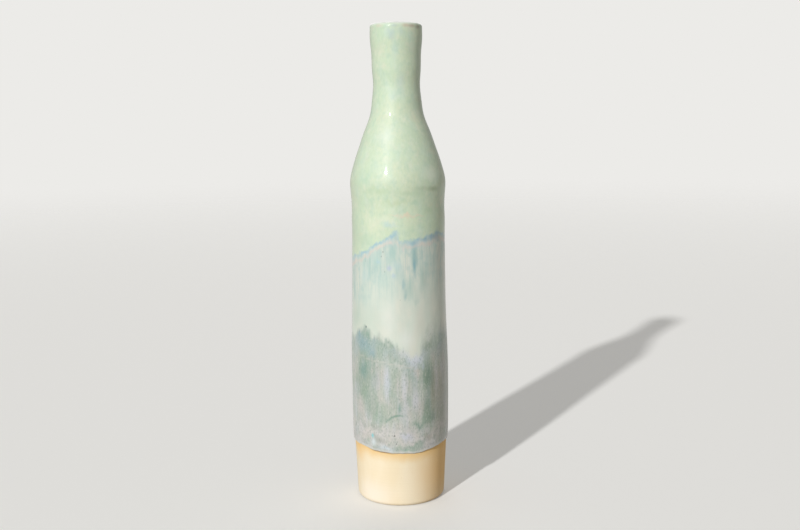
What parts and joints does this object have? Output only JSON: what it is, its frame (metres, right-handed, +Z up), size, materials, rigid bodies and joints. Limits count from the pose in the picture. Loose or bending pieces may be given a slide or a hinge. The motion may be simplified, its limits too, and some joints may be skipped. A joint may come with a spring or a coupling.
{
  "type": "bottle vase",
  "caption": "Slender hand-thrown stoneware bottle vase with a narrow neck, layered running glazes and a bare clay foot, for cut stems.",
  "frame": {"origin": "centre of the foot ring, in the plane that the vase stands on", "axes": "+Z up along the vase's axis from the foot to the mouth, -Y towards the pictured front"},
  "size_m": [0.0628, 0.0628, 0.3],
  "materials": {
    "stoneware": "matte unglazed buff stoneware, flashed orange along the glaze edge",
    "celadon_glaze": "glossy pale celadon green, softly mottled",
    "pale_glaze": "glossy pale grey-white with fine vertical blue-green streaks",
    "grey_glaze": "glossy mottled grey, lavender and teal green with vertical runs",
    "liner_glaze": "glossy pale green liner"
  },
  "bodies": {
    "root": {"clay_body": "stoneware", "celadon_glaze": "celadon_glaze", "pale_glaze": "pale_glaze", "grey_glaze": "grey_glaze", "liner_glaze": "liner_glaze"}
  },
  "joints": []
}
